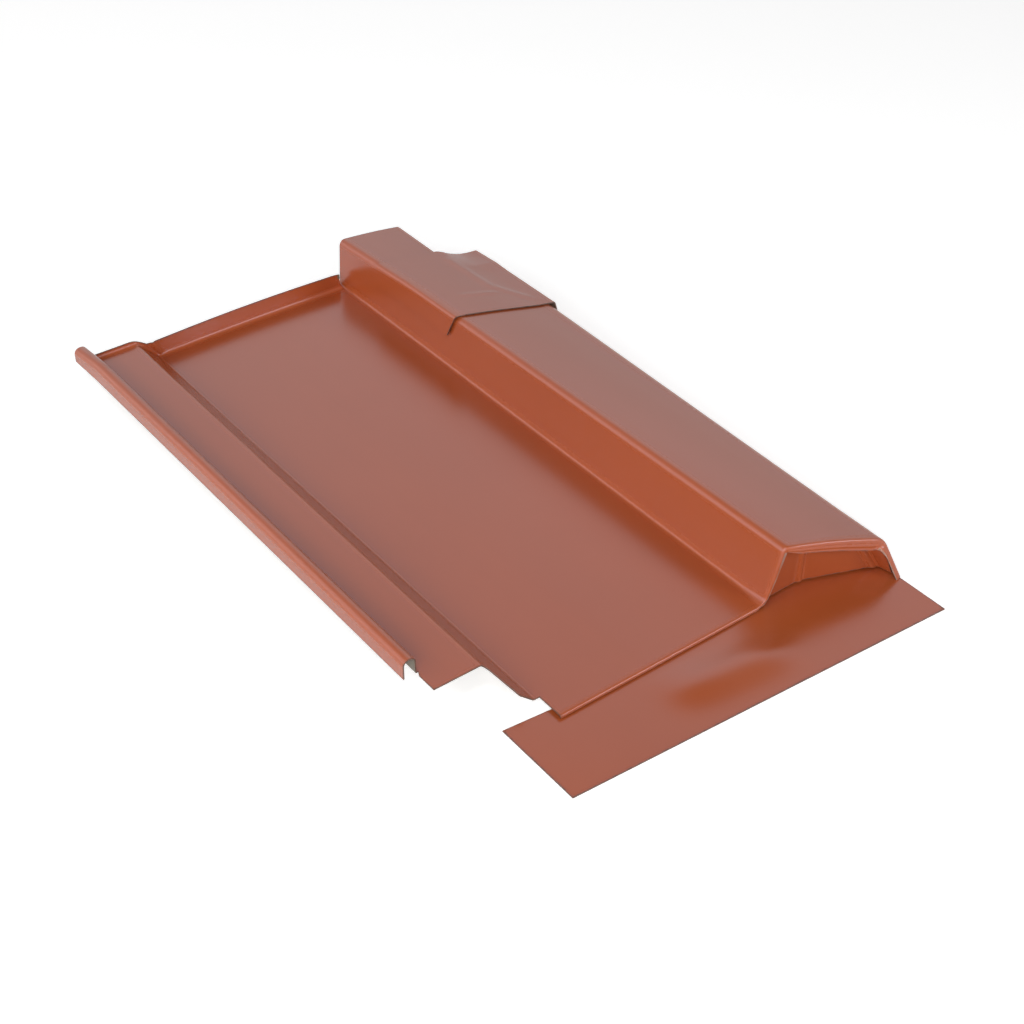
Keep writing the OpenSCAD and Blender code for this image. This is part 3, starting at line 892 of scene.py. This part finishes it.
def patch_z(y, w):
    """The patch's height at y and at distance w across it."""
    u = clamp((w - TAIL_W) / (PATCH_RIGHT - x_left(y) - TAIL_W))
    dip = clamp((y - Y_NARROW - FLARE_L) / (Y_PATCH_REAR - Y_NARROW - FLARE_L))
    dip *= PATCH_DIP * (u + SAG * math.sin(math.pi * u))
    return top_at(y, w) + SHEET_T + PATCH_GAP - dip + crease(y, w)


def patch_section(y):
    """The patch's section at y, from left to right."""
    tilt = lean(y) / top_z(y)
    left, z = x_left(y) - SHEET_T - FLANGE_GAP, patch_z(y, 0)
    width = PATCH_RIGHT - x_left(y)
    right_top = patch_z(y, width)
    lines = np.linspace(0, width, PATCH_ACROSS)[SKIP_LEFT:-SKIP_RIGHT]
    corners = [
        (left - tilt * PATCH_DROP, z - PATCH_DROP, 0, 0),
        (left, z, PATCH_R, PATCH_ARC),
        *[(x_left(y) + w, patch_z(y, w), 0, 0) for w in lines],
        (PATCH_RIGHT, right_top, FLANGE_R, 8),
        (PATCH_RIGHT + RIGHT_LEAN * PATCH_DROP_RIGHT, right_top - PATCH_DROP_RIGHT, 0, 0),
    ]
    return path(corners, [FLANGE_STEPS] + [1] * (len(lines) + 1) + [RIGHT_FLANGE_STEPS])[0]


def patch_y(w, u):
    """The y at distance w along the section and at share u from the front edge to the rear."""
    step = (1 - math.cos(math.pi * clamp((w - STEP_FROM) / (STEP_TO - STEP_FROM)))) / 2
    reach = FLANGE_BACK * w if w < 0 else PATCH_REACH * math.sin(math.pi / 2 * clamp(w / REACH_W))
    return mix(Y_PATCH_FRONT - reach, Y_PATCH_REAR - PATCH_STEP * step, u)


def make_patch():
    first = patch_section(Y_PATCH_FRONT)
    run = np.concatenate([[0], np.cumsum(np.linalg.norm(np.diff(first, axis=0), axis=1))])
    # Measured from the middle of the left bend
    run -= run[FLANGE_STEPS + PATCH_ARC // 2]
    points = np.zeros((len(first), PATCH_ALONG + 1, 3))
    for i, w in enumerate(run):
        for j in range(PATCH_ALONG + 1):
            y = patch_y(w, j / PATCH_ALONG)
            x, z = patch_section(y)[i]
            points[i, j] = (x, y, z)
    sheet_object("patch", "cover_patch", points, coated_rims=True)


# --- Closing plate ---

# Its gap to the seat, which is larger than the CAD's
CLOSURE_FOOT = 1.0
# The return along the left wall, and how far the right one stays short of the box's front edge
LEFT_RETURN_W, LEFT_RETURN_SETBACK, LEFT_RETURN_R = 0.5, 0.5, 1.5
RIDGE_IN, RETURN_SETBACK = 2.1, 4.0
# Run of the ridge for each unit of height, inwards and backwards, and of the right return's front
RIDGE_TURN, RIDGE_BACK, RETURN_BACK = 0.2, 0.32, 0.17
CLOSURE_LEVELS = 16
# Its two beads: their height, each one's half width, and how far the right one is from the ridge
BEAD_H, BEAD_LEFT_HALF, BEAD_RIGHT_HALF, BEAD_RIGHT_IN = 1.3, 1.5, 1.7, 3


def closure_section(z):
    """The plate's plan at height z, as points (x, y) from left to right."""
    up = z - Z_SEAT
    left = X_FOLD + LEAN_FRONT * z / BOX_H + LAP
    right = X_RIGHT - RIGHT_LEAN * up - LAP
    front = RETURN_SETBACK - BOX_REACH
    facet = x_left(0) + FACET_W
    ridge = right - RIDGE_IN - RIDGE_TURN * up
    corners = [
        (left, LEFT_RETURN_SETBACK, 0, 0),
        (left + LEFT_RETURN_W, CLOSURE_SETBACK, LEFT_RETURN_R, 8),
        (facet, CLOSURE_SETBACK, FACET_R, 8),
        (ridge, front + RETURN_L + RIDGE_BACK * up, FACET_R, 8),
        (right, front + RETURN_BACK * up, 0, 0),
    ]
    points = path(corners, [3, 14, 60, 6])[0]
    for x, half in ((facet, BEAD_LEFT_HALF), (ridge - BEAD_RIGHT_IN, BEAD_RIGHT_HALF)):
        points[:, 1] -= BEAD_H * hump(points[:, 0] - x, half)
    return points


def make_closure():
    foot = closure_section(Z_SEAT)
    points = np.zeros((len(foot), CLOSURE_LEVELS + 1, 3))
    for i, (x, _) in enumerate(foot):
        height = CLOSURE_H + top_at(0, max(0, x - x_left(0))) - BOX_H
        for j in range(CLOSURE_LEVELS + 1):
            z = Z_SEAT + CLOSURE_FOOT + height * j / CLOSURE_LEVELS
            px, py = closure_section(z)[i]
            points[i, j] = (px, py, z)
    sheet_object("closure", "closing_plate", points)


# --- Apron ---

# The seam's left end, past the cut-out's edge
SEAM_PAST_CUT = 4
SEAM_X = PAN_CUT_W + SEAM_PAST_CUT
APRON_Z = SHEET_T / 2 - SHIFT[2]
# Lines across it left of the seam and from there on, and steps along it before and in the seam
LEFT_LINES, RIGHT_LINES = 14, 90
APRON_STEPS, SEAM_STEPS = 40, 4

# Its swelling: a point in front of it, the way it runs, its height, how far behind that point its
# crest is, its half width and half length, how far in front of the pan it starts, and over what
# run it grows
WAVE_AT, WAVE_ALONG, WAVE_HEIGHT = (104.0, -39.5), (0.9925, -0.1219), 3.0
WAVE_BEHIND, WAVE_HALF, WAVE_LENGTH = 11.0, 13.5, 38.0
WAVE_CLEAR, WAVE_GROWTH = 4, 6


def apron_wave(x, y):
    """A shallow swelling of the apron in front of the pan, which falls towards its front edge."""
    dx, dy = x - WAVE_AT[0], y - WAVE_AT[1]
    along = dx * WAVE_ALONG[0] + dy * WAVE_ALONG[1]
    across = dy * WAVE_ALONG[0] - dx * WAVE_ALONG[1] - WAVE_BEHIND
    share = hump(across, WAVE_HALF) * hump(along, WAVE_LENGTH, 4)
    return WAVE_HEIGHT * share * clamp((-WAVE_CLEAR - y) / WAVE_GROWTH)


def make_apron():
    xs = np.concatenate(
        [
            np.linspace(-APRON_LEFT, SEAM_X, LEFT_LINES, endpoint=False),
            np.linspace(SEAM_X, X_RIGHT, RIGHT_LINES),
        ]
    )
    points = np.zeros((len(xs), APRON_STEPS + SEAM_STEPS + 1, 3))
    for i, x in enumerate(xs):
        across = (x + APRON_LEFT) / (X_RIGHT + APRON_LEFT)
        front = mix(-APRON_DEPTH_LEFT, -APRON_DEPTH_RIGHT, across)
        left = clamp((x + APRON_LEFT) / (SEAM_X + APRON_LEFT))
        back = APRON_BACK - APRON_TAPER * left
        ys = [mix(front, back, j / APRON_STEPS) for j in range(APRON_STEPS + 1)]
        ys += [mix(back, SEAM_W, j / SEAM_STEPS) for j in range(1, SEAM_STEPS + 1)]
        for j, y in enumerate(ys):
            points[i, j] = (x, y, APRON_Z + apron_wave(x, y))
    # Left of the seam the apron ends at its back edge
    keep = np.ones((len(xs) - 1, APRON_STEPS + SEAM_STEPS), bool)
    keep[:LEFT_LINES, APRON_STEPS:] = False
    sheet_object("apron", "front_apron", points, keep)


make_tray()
make_patch()
make_closure()
make_apron()

# --- Studio ---


# Softboxes aimed at the tile's middle, each with its place, width, height and watts: four large
# ones around its left half and behind it, and two small ones, above it and at its front right
LAMPS = {
    "key": ((-1.3, -1.5, 0.95), 1.6, 1.2, 25),
    "left": ((-2.2, 0.0, 0.9), 2.2, 1.5, 10),
    "rear_left": ((-2.0, 1.3, 1.1), 2.8, 1.9, 17.5),
    "overhead": ((-0.5, -0.3, 1.4), 0.5, 0.5, 4.2),
    "behind": ((1.2, 1.6, 1.5), 2.5, 1.5, 5.5),
    "front_right": ((0.75, -1.35, 0.7), 0.4, 0.3, 6),
}
# The world's strength for the light itself and as it is seen. Overhead it falls to CEILING
# between two heights of its direction.
WORLD_LIGHT, WORLD_SEEN = 0.05, 1.0
CEILING_FROM, CEILING_TO, CEILING = 0.72, 0.86, 0.15
# Half the floor's side in metres, its colour and roughness, and how much it is lit up as seen
FLOOR_HALF, FLOOR_COLOUR, FLOOR_ROUGHNESS, FLOOR_LIFT = 4.0, (0.86, 0.86, 0.86, 1), 0.9, 0.6
WHITE = (1, 1, 1, 1)


def add_lamp(name, at, size, size_y, watts):
    data = bpy.data.lights.new(name, "AREA")
    data.shape = "RECTANGLE"
    data.size, data.size_y = size, size_y
    data.energy = watts
    lamp = bpy.data.objects.new(name, data)
    at = Vector(at)
    lamp.matrix_world = Matrix.Translation(at) @ (
        (-at).to_track_quat("-Z", "Y").to_matrix().to_4x4()
    )
    bpy.context.scene.collection.objects.link(lamp)


def node_math(tree, operation, a, b):
    node = tree.nodes.new("ShaderNodeMath")
    node.operation = operation
    for value, socket in ((a, node.inputs[0]), (b, node.inputs[1])):
        if isinstance(value, bpy.types.NodeSocket):
            tree.links.new(value, socket)
        else:
            socket.default_value = value
    return node.outputs[0]


def node_range(tree, value, low, high, to_low, to_high):
    node = tree.nodes.new("ShaderNodeMapRange")
    tree.links.new(value, node.inputs["Value"])
    ends = {"From Min": low, "From Max": high, "To Min": to_low, "To Max": to_high}
    for key, end in ends.items():
        node.inputs[key].default_value = end
    return node.outputs["Result"]


def seen_share(tree):
    """1 for rays from the camera, reflections and transmission, 0 for the light itself."""
    rays = tree.nodes.new("ShaderNodeLightPath").outputs
    total = rays["Is Camera Ray"]
    for kind in ("Is Glossy Ray", "Is Transmission Ray"):
        total = node_math(tree, "MAXIMUM", total, rays[kind])
    return total


def add_world():
    world = bpy.data.worlds.new("studio")
    bpy.context.scene.world = world
    world.use_nodes = True
    tree = world.node_tree
    background = tree.nodes["Background"]
    background.inputs["Color"].default_value = WHITE
    strength = node_range(tree, seen_share(tree), 0, 1, WORLD_LIGHT, WORLD_SEEN)
    split = tree.nodes.new("ShaderNodeSeparateXYZ")
    tree.links.new(tree.nodes.new("ShaderNodeTexCoord").outputs["Generated"], split.inputs[0])
    ceiling = node_range(tree, split.outputs["Z"], CEILING_FROM, CEILING_TO, 1.0, CEILING)
    product = node_math(tree, "MULTIPLY", strength, ceiling)
    tree.links.new(product, background.inputs["Strength"])


def add_floor():
    mesh = bpy.data.meshes.new("floor")
    half = FLOOR_HALF
    mesh.from_pydata(
        [(-half, -half, 0), (half, -half, 0), (half, half, 0), (-half, half, 0)], [], [(0, 1, 2, 3)]
    )
    floor = bpy.data.objects.new("floor", mesh)
    bpy.context.scene.collection.objects.link(floor)
    material = bpy.data.materials.new("floor")
    material.use_nodes = True
    tree = material.node_tree
    shader = tree.nodes["Principled BSDF"]
    shader.inputs["Base Color"].default_value = FLOOR_COLOUR
    shader.inputs["Roughness"].default_value = FLOOR_ROUGHNESS
    shader.inputs["Specular IOR Level"].default_value = 0.0
    shader.inputs["Emission Color"].default_value = WHITE
    lift = node_math(tree, "MULTIPLY", seen_share(tree), FLOOR_LIFT)
    tree.links.new(lift, shader.inputs["Emission Strength"])
    mesh.materials.append(material)


def add_studio():
    for name, lamp in LAMPS.items():
        add_lamp(name, *lamp)
    add_world()
    add_floor()


add_studio()
bpy.context.scene.view_settings.view_transform = "Standard"
